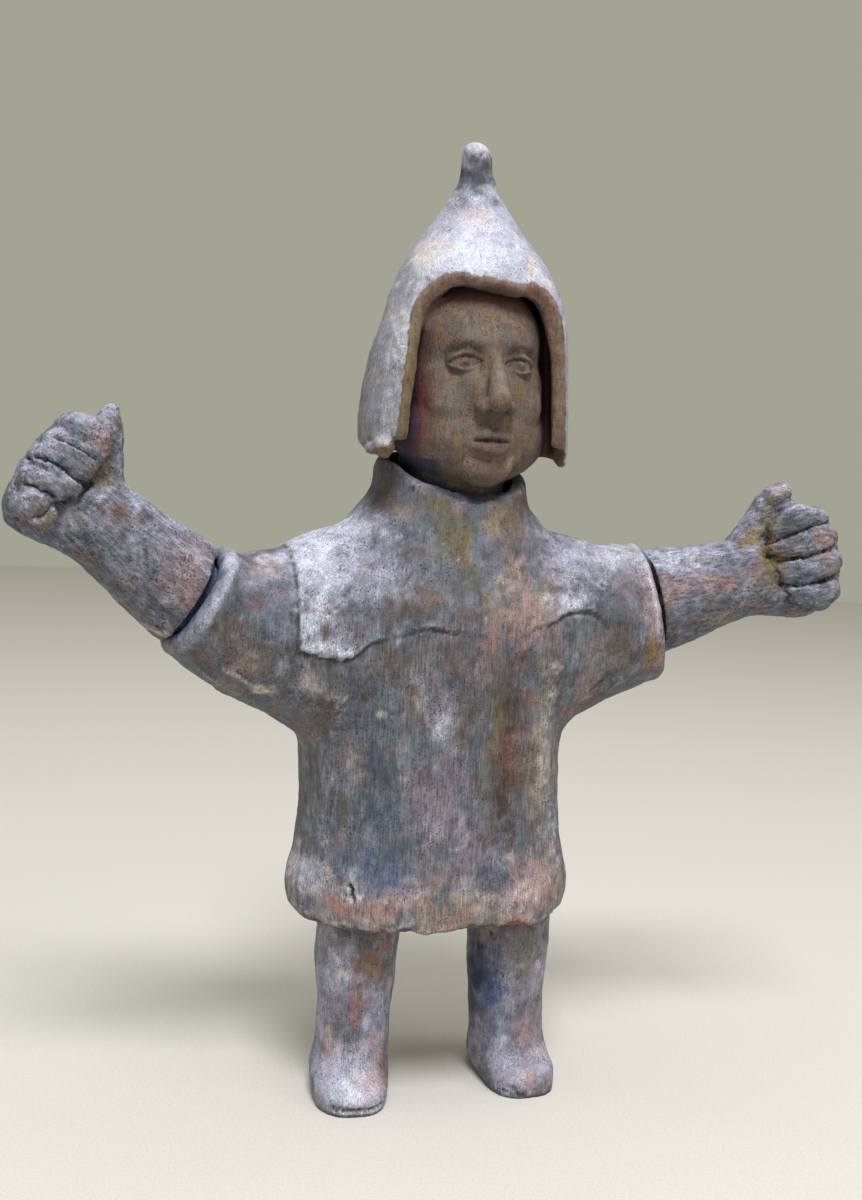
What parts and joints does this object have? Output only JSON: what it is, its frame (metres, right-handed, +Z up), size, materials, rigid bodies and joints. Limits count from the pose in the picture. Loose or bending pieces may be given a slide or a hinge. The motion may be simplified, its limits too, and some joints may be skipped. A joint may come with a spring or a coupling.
{
  "type": "tomb guardian figure",
  "caption": "Standing pottery figure in a long robe and a pointed hood, with raised arms and thumbs-up fists.",
  "frame": {"origin": "middle of the box around the figure, on the surface under its soles", "axes": "+Z up; the figure faces -Y, with its own right side at -X"},
  "size_m": [0.3527, 0.0939, 0.4],
  "materials": {
    "robe_clay": "matt fired clay with worn slip and paint",
    "hood_clay": "matt fired clay with pale worn slip",
    "hand_clay": "matt fired clay with worn slip and paint"
  },
  "bodies": {
    "root": {"robe_body": "robe_clay", "hooded_head": "hood_clay", "right_forearm": "hand_clay", "left_forearm": "hand_clay"}
  },
  "joints": []
}
